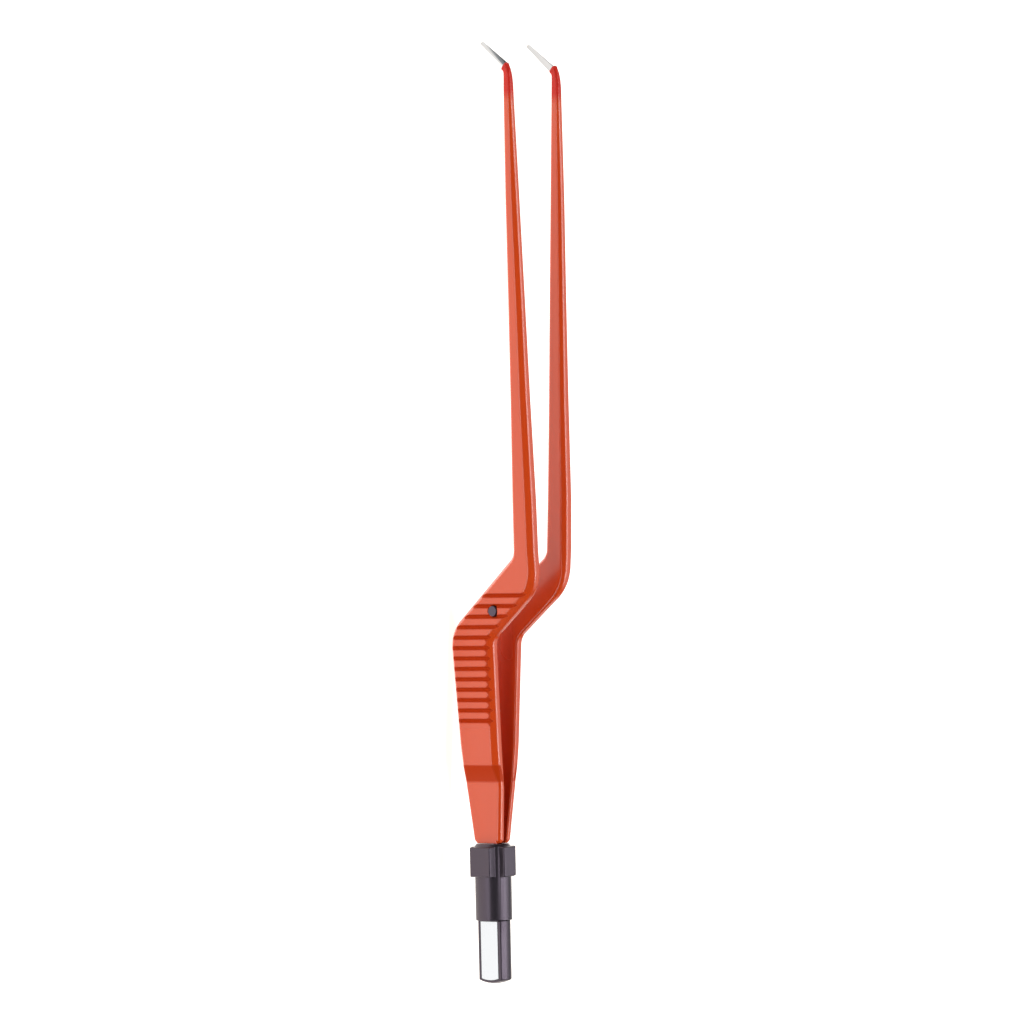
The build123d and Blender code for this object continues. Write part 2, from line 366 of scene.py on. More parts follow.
@dataclass(frozen=True)
class SpringSteel:
    """Martensitic stainless steel, ground and polished: a bright tip with fine draw lines.

    Real lines are finer than a render shows, so these are as coarse as they need to be.
    """

    name: str = "polished_stainless_steel"
    body: str = "#BCBFC2"
    roughness: float = 0.045
    grain_width: float = 0.12
    grain_depth: float = 0.002
    grain_stretch: float = 0.1
    roughness_spread: tuple[float, float] = (0.7, 1.4)

    def make(self) -> bpy.types.Material:
        """Builds the material, with its grinding lines drawn out along the length.

        Returns:
            The finished material.
        """
        material, tree = new_material(self.name)
        place = place_sockets(tree)
        stretched = add_node(tree, "ShaderNodeVectorMath", {"operation": "MULTIPLY"},
                             {0: place, 1: (self.grain_stretch, 1.0, 1.0)})
        lines = add_node(tree, "ShaderNodeTexNoise", inputs={
            "Vector": stretched.outputs[0],
            "Scale": 1 / (self.grain_width * MM),
            "Detail": 2.0,
        })
        rough = add_node(tree, "ShaderNodeMapRange", inputs={
            "Value": lines.outputs["Fac"],
            "To Min": self.roughness * self.roughness_spread[0],
            "To Max": self.roughness * self.roughness_spread[1],
        })
        bump = add_node(tree, "ShaderNodeBump", inputs={
            "Height": lines.outputs["Fac"],
            "Distance": self.grain_depth * MM,
            "Strength": 0.6,
        })
        shader = add_node(tree, "ShaderNodeBsdfPrincipled", inputs={
            "Base Color": linear(self.body),
            "Metallic": 1.0,
            "Roughness": rough.outputs[0],
            "Normal": bump.outputs[0],
        })
        close_tree(tree, shader)
        return material


@dataclass(frozen=True)
class MouldedPlastic:
    """Polyphenylene sulphide, injection moulded: near-black, satin, with a fine grain.

    The tint and strength of its highlights are matched to the photograph. The pin's acetal
    and the cast epoxy take the same surface in colours and a roughness of their own.
    """

    name: str
    body: str = "#151417"
    roughness: float = 0.38
    sheen_of_light: str = "#F9E4FF"
    ior: float = 1.75
    grain_size: float = 0.25
    grain_depth: float = 0.006
    flow_size: float = 5.0
    flow_shade: float = 1.25
    roughness_spread: tuple[float, float] = (0.8, 1.25)

    def make(self) -> bpy.types.Material:
        """Builds the material.

        Returns:
            The finished material.
        """
        material, tree = new_material(self.name)
        place = place_sockets(tree)
        grain = add_node(tree, "ShaderNodeTexNoise", inputs={
            "Vector": place, "Scale": 1 / (self.grain_size * MM), "Detail": 3.0})
        flow = add_node(tree, "ShaderNodeTexNoise", inputs={
            "Vector": place, "Scale": 1 / (self.flow_size * MM), "Detail": 2.0})
        colour = add_node(tree, "ShaderNodeMix", {"data_type": "RGBA"}, {
            0: flow.outputs["Fac"],
            6: linear(self.body),
            7: tuple(self.flow_shade * c for c in linear(self.body)[:3]) + (1.0,),
        })
        rough = add_node(tree, "ShaderNodeMapRange", inputs={
            "Value": grain.outputs["Fac"],
            "To Min": self.roughness * self.roughness_spread[0],
            "To Max": self.roughness * self.roughness_spread[1],
        })
        bump = add_node(tree, "ShaderNodeBump", inputs={
            "Height": grain.outputs["Fac"],
            "Distance": self.grain_depth * MM,
            "Strength": 0.8,
        })
        shader = add_node(tree, "ShaderNodeBsdfPrincipled", inputs={
            "Base Color": colour.outputs[2],
            "Roughness": rough.outputs[0],
            "IOR": self.ior,
            "Specular Tint": linear(self.sheen_of_light),
            "Normal": bump.outputs[0],
        })
        close_tree(tree, shader)
        return material


@dataclass(frozen=True)
class PlatedContact:
    """Nickel-plated brass strip, rolled bright: nearly white where it mirrors the table.

    Its rolling lines are drawn as coarse as they need to be to show.
    """

    name: str = "nickel_plated_strip"
    body: str = "#CBD1D8"
    roughness: float = 0.22
    line_width: float = 0.08
    line_stretch: float = 0.05
    roughness_spread: tuple[float, float] = (0.8, 1.3)

    def make(self) -> bpy.types.Material:
        """Builds the material.

        Returns:
            The finished material.
        """
        material, tree = new_material(self.name)
        place = place_sockets(tree)
        stretched = add_node(tree, "ShaderNodeVectorMath", {"operation": "MULTIPLY"},
                             {0: place, 1: (self.line_stretch, 1.0, 1.0)})
        lines = add_node(tree, "ShaderNodeTexNoise", inputs={
            "Vector": stretched.outputs[0],
            "Scale": 1 / (self.line_width * MM),
            "Detail": 1.0,
        })
        rough = add_node(tree, "ShaderNodeMapRange", inputs={
            "Value": lines.outputs["Fac"],
            "To Min": self.roughness * self.roughness_spread[0],
            "To Max": self.roughness * self.roughness_spread[1],
        })
        shader = add_node(tree, "ShaderNodeBsdfPrincipled", inputs={
            "Base Color": linear(self.body),
            "Metallic": 1.0,
            "Roughness": rough.outputs[0],
        })
        close_tree(tree, shader)
        return material


@dataclass(frozen=True)
class GlowingFloor:
    """Opal acrylic sheet with a painted glow of its own: a white ground that washes out every
    shadow.

    No lamp lies under it. The glow covers a patch round the forceps and fades out to a plain
    grey sheet beyond it.
    """

    name: str = "floor_with_painted_glow"
    body: str = "#BEBEBE"
    glow: str = "#FFF6EC"
    strength: float = 1.05
    glow_length: tuple[float, float] = (0.126, 0.27)
    glow_width: tuple[float, float] = (0.2, 0.4)
    roughness: float = 0.9
    gloss: float = 0.1

    def make(self) -> bpy.types.Material:
        """Builds the material.

        Returns:
            The finished material.
        """
        material, tree = new_material(self.name)
        place = add_node(tree, "ShaderNodeSeparateXYZ", inputs={0: place_sockets(tree)})
        shares = []
        for axis, (full, dark) in (("X", self.glow_length), ("Y", self.glow_width)):
            away = add_node(tree, "ShaderNodeMath", {"operation": "ABSOLUTE"},
                            {0: place.outputs[axis]})
            share = add_node(tree, "ShaderNodeMapRange", {"interpolation_type": "SMOOTHSTEP"}, {
                "Value": away.outputs[0],
                "From Min": full,
                "From Max": dark,
                "To Min": 1.0,
                "To Max": 0.0,
            })
            shares.append(share.outputs[0])
        # The painted glow: a pool of light round the forceps, fading along and across.
        glow_share = add_node(tree, "ShaderNodeMath", {"operation": "MULTIPLY"},
                       {0: shares[0], 1: shares[1]})
        strength = add_node(tree, "ShaderNodeMath", {"operation": "MULTIPLY"},
                            {0: glow_share.outputs[0], 1: self.strength})
        shader = add_node(tree, "ShaderNodeBsdfPrincipled", inputs={
            "Base Color": linear(self.body),
            "Roughness": self.roughness,
            "Specular IOR Level": self.gloss,
            "Emission Color": linear(self.glow),
            "Emission Strength": strength.outputs[0],
        })
        close_tree(tree, shader)
        return material


@dataclass
class ArmForm:
    """The coated arm's outline and side view.

    The sizes are the solids' own, but for the wider outer bevel along the shafts and the soft
    bend of the upper edge at the tip.
    """

    coat_start: float = 32.8
    root_half_width: float = 3.9
    root_corner_radius: float = 1.2
    shaft_offset: float = 17.05
    tip_bend: float = 212.6
    tip_angle: float = 50.0
    coat_end_past_bend: float = 1.2
    coat_end_half_width: float = 1.0
    tip_bend_radius: float = 1.4
    soft_bend_lead: float = 3.4
    soft_bend_lift: float = 0.03
    soft_bend_dip: float = 0.02
    soft_bend_corner: float = 0.62
    soft_bend_close: float = 0.35
    soft_bend_points: int = 30
    lower_knees: tuple[tuple[float, float, float], ...] = (
        (46, -5.25, 0), (56, -5.8, 0), (82.4, -6.7, 8.5), (99.9, 13.8, 3.0))
    upper_knees: tuple[tuple[float, float, float], ...] = (
        (46, 5.2, 0), (56, 5.5, 0), (80.7, 5.9, 3.5), (92.5, 19.9, 10.0))
    shaft_half_widths: Table = ((113, 2.93), (136, 2.4), (159, 2.08), (183, 1.7), (208, 1.1))
    inner_face: Table = ((33.0, 0.45), (45, 1.25), (56, 2.3), (78, 3.5), (101, 4.35),
                         (214, 8.22))
    thickness: Table = ((33.0, 1.8), (47.2, 1.8), (51.3, 2.9), (78, 3.0), (87, 3.2),
                        (101, 3.95), (113, 3.95), (136, 3.56), (159, 3.1), (183, 2.8),
                        (208, 2.0), (214, 1.6))
    outer_bevel: Table = ((33.0, 0.6), (47.2, 0.6), (51.3, 1.3), (87, 1.3), (101, 1.25),
                          (113, 1.25), (136, 1.15), (183, 0.95), (208, 0.5), (214, 0.35))
    inner_bevel: Table = ((33.0, 0.25), (87, 0.35), (101, 1.05), (113, 1.05), (136, 0.9),
                          (183, 0.75), (208, 0.45), (214, 0.35))
    arc_steps: int = 24
    smallest_radius: float = 0.01

    def tip_point(self, distance: float, sideways: float = 0.0) -> tuple[float, float]:
        """Finds a point on the angled tip.

        Args:
            distance: How far past the bend it lies.
            sideways: How far to the tip's +w side.

        Returns:
            The point as (l, w).
        """
        turn = math.radians(self.tip_angle)
        x = self.tip_bend + distance * math.cos(turn) + sideways * math.sin(turn)
        y = self.shaft_offset - distance * math.sin(turn) + sideways * math.cos(turn)
        return x, y

    def corners(self, sign: int) -> list[tuple[float, float, float]]:
        """Corners of one long edge as (l, w, corner radius).

        Args:
            sign: -1 for the lower edge, on the -w side, and 1 for the upper one.

        Returns:
            The corners from the root to the coat's end.
        """
        half = self.coat_end_half_width
        lean = math.tan(math.radians(self.tip_angle / 2))
        knees = self.lower_knees if sign < 0 else self.upper_knees
        return [
            (self.coat_start, 0, 0),
            (self.coat_start, sign * self.root_half_width, self.root_corner_radius),
            *knees,
            *[(x, self.shaft_offset + sign * width, 0) for x, width in self.shaft_half_widths],
            (self.tip_bend + sign * half * lean, self.shaft_offset + sign * half,
             self.tip_bend_radius),
            (*self.tip_point(self.coat_end_past_bend, sign * half), 0),
        ]

    def soft_bend_edge(self) -> np.ndarray:
        """Draws the upper edge at the tip in two soft turns, as the drawn-down coat has it.

        Returns:
            Points by 2.
        """
        end = Vector(self.tip_point(self.coat_end_past_bend, self.coat_end_half_width))
        turn = math.radians(self.tip_angle)
        start = Vector((self.tip_bend - self.soft_bend_lead,
                        self.shaft_offset + self.coat_end_half_width + self.soft_bend_lift))
        corner = Vector((start.x + (end.x - start.x) * self.soft_bend_corner,
                         start.y - self.soft_bend_dip))
        close = end - Vector((math.cos(turn), -math.sin(turn))) * self.soft_bend_close
        u = np.linspace(0, 1, self.soft_bend_points)[:, None]
        return ((1 - u) ** 3 * np.array(start) + 3 * u * (1 - u) ** 2 * np.array(corner)
                + 3 * u * u * (1 - u) * np.array(close) + u**3 * np.array(end))

    def edge(self, sign: int, inset: float) -> np.ndarray:
        """Points along one long edge, set in by a distance, with its rounded corners.

        Args:
            sign: -1 for the lower edge and 1 for the upper one.
            inset: How far the line lies inside the edge.

        Returns:
            Points by 2, from the root to the coat's end.
        """
        corners = self.corners(sign)
        headings = [math.atan2(b[1] - a[1], b[0] - a[0]) for a, b in zip(corners, corners[1:])]
        points: list[tuple[float, float]] = []
        for i in range(1, len(corners)):
            x, y, radius = corners[i]
            before = headings[i - 1]
            after = headings[min(i, len(headings) - 1)]
            turn = math.remainder(after - before, 2 * math.pi)
            middle = before + turn / 2
            shift = -sign * inset / math.cos(turn / 2)
            x -= shift * math.sin(middle)
            y += shift * math.cos(middle)
            if radius == 0:
                points.append((x, y))
                continue
            radius = max(radius + sign * inset * math.copysign(1, turn), self.smallest_radius)
            reach = radius * math.tan(abs(turn) / 2)
            start_x = x - reach * math.cos(before)
            start_y = y - reach * math.sin(before)
            bend = math.copysign(radius, turn)
            for step in range(self.arc_steps + 1):
                heading = before + turn * step / self.arc_steps
                points.append((
                    start_x + bend * (math.sin(heading) - math.sin(before)),
                    start_y - bend * (math.cos(heading) - math.cos(before)),
                ))
        return np.array(points)


@dataclass
class Coat:
    """One arm's insulating coat: a rounded eight-sided skin with the finger grip's ribs."""

    side: Side
    form: ArmForm
    groove_count: int = 13
    groove_first: float = 61.6
    groove_pitch: float = 2.434
    groove_depth: float = 0.6
    groove_slope: float = 1.25
    groove_bottom: float = 0.1
    bar_crown: float = 0.1
    bar_shoulder: float = 0.22
    # Where painted shade lies: the grooves' reach, the bar ends, the fade onto the bevel and the
    # root's step.
    recess_reach: tuple[float, float] = (0.34, 0.74)
    bar_end_radius: float = 1.0
    recess_bevel_fade: float = 0.35
    step_fade: float = 0.35
    step_strength: tuple[float, float] = (0.8, 1.0)
    lip_place: float = 60.0
    lip_width: float = 0.22
    lip_depth: float = 0.12
    edge_round: float = 0.36
    end_round: float = 0.14
    end_side_share: float = 0.8
    end_rings: int = 16
    rounding_share: float = 0.46
    side_points: int = 3
    groove_starts: float = 0.002
    table_blur: float = 0.35
    table_blur_points: int = 9
    cut_blend: float = 0.1
    shade_reach: float = 1.7
    pin_place: tuple[float, float] = (87.2, 7.2)
    pin_seat_radius: float = 1.46
    pin_seat_depth: float = 0.22
    pin_seat_wall: float = 0.25
    # How far the painted shade round the pin fades out.
    pin_seat_shade: float = 0.12
    step_place: tuple[float, float] = (47.0, 51.4)
    last_cross_ring: float = 209.0
    bend_gap: float = 0.4
    bend_count: int = 40
    bead: tuple[float, ...] = (-0.02, -0.05, -0.07, -0.07, -0.05, -0.02)
    bead_end: Table = ((0.03, 0.03), (0.05, 0.08), (0.06, 0.16))
    inset_reach: float = 3.0
    inset_levels: int = 31
    corner_points: int = 6
    flat_points: int = 54
    bevel_points: int = 12
    stretches: tuple[tuple[float, float, float], ...] = (
        (34.6, 46.0, 1.0), (46.0, 59.0, 0.3), (59.0, 93.0, 0.1), (93.0, 101.0, 0.2),
        (101.0, 209.0, 2.0),
    )

    def ring_places(self) -> np.ndarray:
        """Spaces the cross rings along the arm, closer where the form changes.

        Returns:
            Their places along l.
        """
        first = self.form.coat_start
        opening = self.stretches[0][0] - first
        start = first + opening * (1 - np.cos(np.linspace(0, math.pi / 2, self.end_rings)[:-1]))
        spans = [np.arange(a, b - step / 2, step) for a, b, step in self.stretches]
        return np.concatenate([start, *spans, [self.last_cross_ring]])

    def groove(self, x: np.ndarray) -> np.ndarray:
        """How deep the grip's grooves and the lip below it lie under the outer face.

        Args:
            x: Places along l.

        Returns:
            One depth for each place.
        """
        centres = self.groove_first + self.groove_pitch * np.arange(self.groove_count)
        away = np.abs(x[:, None] - centres[None, :]).min(axis=1)
        half = self.groove_pitch / 2
        softened = np.hypot(away, self.groove_bottom) - self.groove_bottom
        wall = self.groove_depth - self.groove_slope * softened
        crown = self.bar_crown * np.clip(1 - away / half, 0, 1) ** 2
        depth = -softer_min(-wall, -crown, self.bar_shoulder)
        outside = (x < centres[0] - half) | (x > centres[-1] + half)
        depth = np.where(outside, 0, np.maximum(depth, 0))
        lip = self.lip_depth * np.exp(-((x - self.lip_place) / self.lip_width) ** 2)
        return depth + lip

    def half_profile(
        self, outer: np.ndarray, inner: np.ndarray, outer_leg: np.ndarray,
        inner_leg: np.ndarray, round_by: np.ndarray,
    ) -> tuple[np.ndarray, np.ndarray]:
        """Inset and height of the points round one side, from outer face to inner face.

        Args:
            outer: Height of the outer face, one for each ring.
            inner: Height of the inner face.
            outer_leg: Leg of the outer 45 degree bevel.
            inner_leg: Leg of the inner bevel.
            round_by: How far from each corner its rounding starts.

        Returns:
            Inset and height, each rings by points.
        """
        far = self.inset_reach
        zero = np.zeros_like(outer)
        corners = [
            (zero + far, outer), (outer_leg, outer), (zero, outer - outer_leg),
            (zero, inner + inner_leg), (inner_leg, inner), (zero + far, inner),
        ]
        fillings = [self.bevel_points, self.side_points, self.side_points]
        insets, heights = [], []
        for i in range(1, 5):
            here = np.stack(corners[i])
            back = np.stack(corners[i - 1]) - here
            ahead = np.stack(corners[i + 1]) - here
            back_length = np.hypot(*back)
            ahead_length = np.hypot(*ahead)
            cut = np.minimum(round_by, self.rounding_share * np.minimum(back_length, ahead_length))
            a = here + back / back_length * cut
            c = here + ahead / ahead_length * cut
            for u in np.linspace(0, 1, self.corner_points):
                point = (1 - u) ** 2 * a + 2 * u * (1 - u) * here + u * u * c
                insets.append(point[0])
                heights.append(point[1])
            if i == 4:
                continue
            following = np.stack(corners[i + 1])
            next_ahead = np.stack(corners[i + 2]) - following
            shorter = np.minimum(ahead_length, np.hypot(*next_ahead))
            next_cut = np.minimum(round_by, self.rounding_share * shorter)
            end = following - ahead / ahead_length * next_cut
            count = fillings[i - 1]
            for step in range(1, count):
                point = c + (end - c) * step / count
                insets.append(point[0])
                heights.append(point[1])
        return np.stack(insets, axis=1), np.stack(heights, axis=1)

    def wind(
        self, lower: np.ndarray, upper: np.ndarray, height: np.ndarray, flat: int,
    ) -> np.ndarray:
        """Joins both sides' points and the two faces between them into closed rings.

        Args:
            lower: Points of the lower side, rings by points by 2 as (l, w).
            upper: Points of the upper side.
            height: Heights of either side's points, rings by points.
            flat: How many steps cross each face.

        Returns:
            Rings by points by 3.
        """
        share = (np.arange(1, flat) / flat)[None, :, None]
        low = np.concatenate([lower, height[..., None]], axis=2)
        high = np.concatenate([upper, height[..., None]], axis=2)
        inner = low[:, -1:] + (high[:, -1:] - low[:, -1:]) * share
        outer = high[:, :1] + (low[:, :1] - high[:, :1]) * share
        return np.concatenate([low, inner, high[:, ::-1], outer], axis=1)

    def cross_rings(self) -> np.ndarray:
        """Makes rings square to the plug's axis, from the coat's lower end to near the bend.

        Returns:
            Rings by points by 3.
        """
        form = self.form
        x = self.ring_places()
        blur = np.linspace(-self.table_blur, self.table_blur, self.table_blur_points)
        spread = x[:, None] + blur[None, :]

        def smooth(table: Table) -> np.ndarray:
            """Reads a table at each ring, with its corners blurred."""
            return read_table(table, spread).mean(axis=1)

        near = np.clip(1 - (x - form.coat_start) / self.end_round, 0, 1)
        end_inset = self.end_round * (1 - np.sqrt(1 - near**2))
        inner = smooth(form.inner_face) + end_inset
        outer = smooth(form.inner_face) + smooth(form.thickness) - end_inset
        inset, height = self.half_profile(
            outer, inner, smooth(form.outer_bevel), smooth(form.inner_bevel),
            np.full_like(x, self.edge_round))
        levels = np.linspace(0, self.inset_reach, self.inset_levels)
        last_level = self.inset_levels - 1.001
        sides = []
        for sign in (-1, 1):
            grid = np.stack([
                np.interp(x, *form.edge(sign, level).T) for level in levels
            ])
            level = (inset + end_inset[:, None] * self.end_side_share) / levels[1]
            level = np.clip(level, 0, last_level)
            step = level.astype(int)
            ring = np.arange(len(x))[:, None]
            y = grid[step, ring] + (grid[step + 1, ring] - grid[step, ring]) * (level - step)
            sides.append(np.stack([np.broadcast_to(x[:, None], y.shape), y], axis=2))
        rings = self.wind(*sides, height, self.flat_points)
        top = outer[:, None]
        is_outer = rings[..., 2] > (outer + inner)[:, None] / 2
        cut = softer_min(rings[..., 2], top - self.groove(x)[:, None], self.cut_blend)
        cut = cut + self.cut_blend / 4
        grooved = (self.groove(x) > self.groove_starts)[:, None] & is_outer
        rings[..., 2] = np.where(grooved, np.minimum(cut, rings[..., 2]), rings[..., 2])
        if self.side is Side.LEFT:
            self.seat_pin(rings, is_outer)
        return rings

    def recess(self, rings: np.ndarray) -> np.ndarray:
        """How much painted shade each point takes: in a groove, on the root's step or round the
        pin.

        Args:
            rings: The coat's points, before they are turned to their side.

        Returns:
            From 0 on the open faces to 1 in the recesses and 2 round the pin.
        """
        x = rings[..., 0]
        outer = read_table(self.form.inner_face, x) + read_table(self.form.thickness, x)
        low = outer - rings[..., 2]
        centres = self.groove_first + self.groove_pitch * np.arange(self.groove_count)
        away = np.abs(x[..., None] - centres).min(axis=-1)
        edge = rings[..., 1].max(axis=-1)[..., None] - read_table(self.form.outer_bevel, x)
        into_end = np.clip(1 - (edge - rings[..., 1]) / self.bar_end_radius, 0, 1)
        away = away - self.bar_end_radius * (1 - np.sqrt(1 - into_end**2))
        groove = np.clip((self.recess_reach[1] - away) / np.ptp(self.recess_reach), 0, 1)
        row = (x > centres[0] - self.groove_pitch / 2) & (x < centres[-1] + self.recess_reach[1])
        groove = np.where(row, groove, 0)
        start, end = self.step_place
        step = np.clip(np.minimum(x - start, end - x) / self.step_fade, 0, 1)
        step = step * np.interp(x, self.step_place, self.step_strength)
        below = low - self.groove(x.ravel()).reshape(x.shape)
        on_face = np.clip(1 - below / self.recess_bevel_fade, 0, 1)
        share = np.maximum(groove * on_face, step)
        share = np.where(low < self.shade_reach, share, 0)
        share = share * share * (3 - 2 * share)
        if self.side is Side.LEFT:
            away = np.hypot(x - self.pin_place[0], rings[..., 1] - self.pin_place[1])
            seat = np.clip((self.pin_seat_radius - away) / self.pin_seat_shade, 0, 1)
            share = np.where(low < self.shade_reach, np.maximum(share, 2 * seat), share)
        return share

    def seat_pin(self, rings: np.ndarray, is_outer: np.ndarray) -> None:
        """Sinks a shallow ring round the stop pin's end, in place.

        Args:
            rings: The coat's points, before they are turned to their side.
            is_outer: Which points lie on the outer half, rings by points.
        """
        away = np.hypot(rings[..., 0] - self.pin_place[0], rings[..., 1] - self.pin_place[1])
        share = np.clip((self.pin_seat_radius - away) / self.pin_seat_wall, 0, 1)
        sink = self.pin_seat_depth * share * share * (3 - 2 * share)
        rings[..., 2] -= np.where(is_outer, sink, 0)

    def bend_edge(self, sign: int) -> np.ndarray:
        """One edge from the last cross ring round the tip's bend, evenly spaced.

        Args:
            sign: -1 for the lower edge and 1 for the upper one, which bends more softly.

        Returns:
            Points by 2.
        """
        form = self.form
        edge = form.soft_bend_edge() if sign > 0 else form.edge(sign, 0)
        first = self.last_cross_ring + self.bend_gap
        start = [(first, float(np.interp(first, *form.edge(sign, 0).T)))]
        edge = np.concatenate([start, edge[edge[:, 0] > first + self.bend_gap / 2]])
        run = np.concatenate([[0], np.cumsum(np.hypot(*np.diff(edge, axis=0).T))])
        even = np.linspace(0, run[-1], self.bend_count)
        return np.stack([np.interp(even, run, edge[:, i]) for i in range(2)], axis=1)

    def bend_rings(self) -> np.ndarray:
        """Makes rings square to the arm round the tip's bend, to the coat's rounded end.

        Returns:
            Rings by points by 3.
        """
        form = self.form
        low, high = self.bend_edge(-1), self.bend_edge(1)
        turn = math.radians(form.tip_angle)
        ahead = np.array([math.cos(turn), -math.sin(turn)])
        bead = np.concatenate([np.zeros(len(low) - len(self.bead)), self.bead,
                               [inward for _, inward in self.bead_end]])
        low = np.concatenate([low, [low[-1] + ahead * run for run, _ in self.bead_end]])
        high = np.concatenate([high, [high[-1] + ahead * run for run, _ in self.bead_end]])
        x = (low[:, 0] + high[:, 0]) / 2
        inner = read_table(form.inner_face, x) + bead
        outer = read_table(form.inner_face, x) + read_table(form.thickness, x) - bead
        inset, height = self.half_profile(
            outer, inner, read_table(form.outer_bevel, x), read_table(form.inner_bevel, x),
            np.full_like(x, self.edge_round))
        across = (high - low) / np.linalg.norm(high - low, axis=1)[:, None]
        inset = (inset + bead[:, None])[..., None]
        return self.wind(
            low[:, None] + across[:, None] * inset,
            high[:, None] - across[:, None] * inset,
            height, self.flat_points)

    def build(self, frame: PlugFrame, finish: bpy.types.Material) -> bpy.types.Object:
        """Builds the coat in place of its solid, as one closed skin with no hollow inside.

        Args:
            frame: The plug's frame.
            finish: The coat's material.

        Returns:
            The coat's object.
        """
        rings = np.concatenate([self.cross_rings(), self.bend_rings()])
        # The painted shade goes onto the mesh as a point attribute for the coat's colour.
        recess = self.recess(rings)
        rings[..., 2] *= self.side.value
        piece = mesh_from_rings(f"{self.side.word}_coat", rings, self.side is Side.LEFT, frame)
        layer = piece.data.attributes.new(NylonCoat.painted_shade_layer, "FLOAT", "POINT")
        layer.data.foreach_set("value", recess.ravel().astype(np.float32))
        piece.data.materials.append(finish)
        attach(piece, f"{self.side.word}_arm")
        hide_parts(f"{self.side.word}_coating")
        return piece


@dataclass
class Blade:
    """One arm's bare steel, where it is seen: the facetted tip and the root at the collar.

    The steel under the coat and inside the plug is in the solids alone.
    """

    side: Side
    form: ArmForm
    reach_in: float = 0.45
    length: float = 10.4
    root_half_width: float = 0.9
    end_half_width: float = 0.5
    end_inner: float = 8.4
    end_thickness: float = 0.65
    wall_at_end: float = 0.12
    back_drop: float = 0.18
    foot_bevel: float = 0.16
    facet_share: tuple[float, float] = (0.92, 0.66)
    facet_rise: float = 1.2
    facet_limit: float = 0.95
    edge_radius: float = 0.05
    middle_share: float = 0.35
    cap_turns: int = 12
    cap_end: float = 0.04
    taper_rings: int = 12
    smooth_below: float = 35.0
    tang_reach: tuple[float, float] = (30.0, 33.6)
    tang_half_width: float = 2.1
    tang_heights: tuple[float, float] = (0.81, 1.91)

    def section(self, half: float, inner: float, outer: float, facet: float) -> np.ndarray:
        """One closed section of the tip: flat inside, three facets and softened edges outside.

        Args:
            half: Half its width.
            inner: Height of the flat inner face.
            outer: Height of the back.
            facet: Share of the half width that a side facet takes.

        Returns:
            Points by 2, as (sideways, height).
        """
        foot = min(self.foot_bevel, half / 2)
        leg = facet * half
        fall = min(self.facet_rise * leg, self.facet_limit * (outer - inner) - foot)
        corners = np.array([
            (half, inner + foot), (half, outer - fall), (half - leg, outer),
            (leg - half, outer), (-half, outer - fall), (-half, inner + foot),
            (foot - half, inner), (half - foot, inner)])
        soft = min(self.edge_radius, foot / 3)
        points = []
        for before, here, after in zip(np.roll(corners, 1, 0), corners, np.roll(corners, -1, 0)):
            a = here + (before - here) / np.linalg.norm(before - here) * soft
            c = here + (after - here) / np.linalg.norm(after - here) * soft
            points += [a, (a + 2 * here + c) / 4, c]
        return np.array(points)

    def tip_rings(self) -> np.ndarray:
        """Makes the tip's rings, from inside the coat to its rounded point.

        Returns:
            Rings by points by 3.
        """
        form = self.form
        root_x = form.tip_point(form.coat_end_past_bend)[0]
        at_root = float(np.interp(root_x, *zip(*form.inner_face)))
        root_inner = at_root + self.wall_at_end
        root_outer = (at_root - self.wall_at_end - self.back_drop
                      + float(np.interp(root_x, *zip(*form.thickness))))
        cap_start = self.length - self.end_half_width
        turns = np.linspace(0, math.pi / 2, self.cap_turns)[1:]
        stops = [(form.coat_end_past_bend - self.reach_in, 1.0), (cap_start, 1.0)]
        taper = np.linspace(form.coat_end_past_bend, cap_start, self.taper_rings)[:-1]
        stops[1:1] = [(distance, 1.0) for distance in taper]
        stops += [(cap_start + self.end_half_width * math.sin(a), max(math.cos(a), self.cap_end))
                  for a in turns]
        rings = []
        for distance, share in stops:
            gone = distance - form.coat_end_past_bend
            t = min(max(gone / (cap_start - form.coat_end_past_bend), 0.0), 1.0)
            half = self.root_half_width + (self.end_half_width - self.root_half_width) * t
            inner = root_inner + (self.end_inner - root_inner) * t
            outer = root_outer + (self.end_inner + self.end_thickness - root_outer) * t
            middle = inner + self.middle_share * (outer - inner)
            facet = self.facet_share[0] + (self.facet_share[1] - self.facet_share[0]) * t
            flat = self.section(half * share, middle + (inner - middle) * share**0.5,
                                middle + (outer - middle) * share, facet)
            rings.append([(*form.tip_point(distance, side), height) for side, height in flat])
        return np.array(rings)

    def tang_rings(self) -> np.ndarray:
        """Makes the rings of the narrow root between the collar and the coat.

        Returns:
            Rings by points by 3.
        """
        half, soft = self.tang_half_width, self.edge_radius
        inner, outer = self.tang_heights
        ring = [(half, inner + soft), (half, outer - soft), (half - soft, outer),
                (-half + soft, outer), (-half, outer - soft), (-half, inner + soft),
                (-half + soft, inner), (half - soft, inner)]
        return np.array([[(x, w, t) for w, t in ring] for x in self.tang_reach])

    def build(self, frame: PlugFrame, finish: bpy.types.Material) -> bpy.types.Object:
        """Builds the two bare ends in place of the blade's solid.

        Args:
            frame: The plug's frame.
            finish: The steel's material.

        Returns:
            The blade's object.
        """
        piece = None
        for part, rings in (("tip", self.tip_rings()), ("tang", self.tang_rings())):
            rings[..., 2] *= self.side.value
            shell = mesh_from_rings(f"{self.side.word}_{part}", rings,
                                    self.side is Side.RIGHT, frame)
            piece = shell if piece is None else join(piece, shell)
        piece.name = f"{self.side.word}_steel"
        piece.data.shade_smooth()
        soften(piece, self.smooth_below)
        piece.data.materials.append(finish)
        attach(piece, f"{self.side.word}_arm")
        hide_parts(f"{self.side.word}_blade")
        return piece


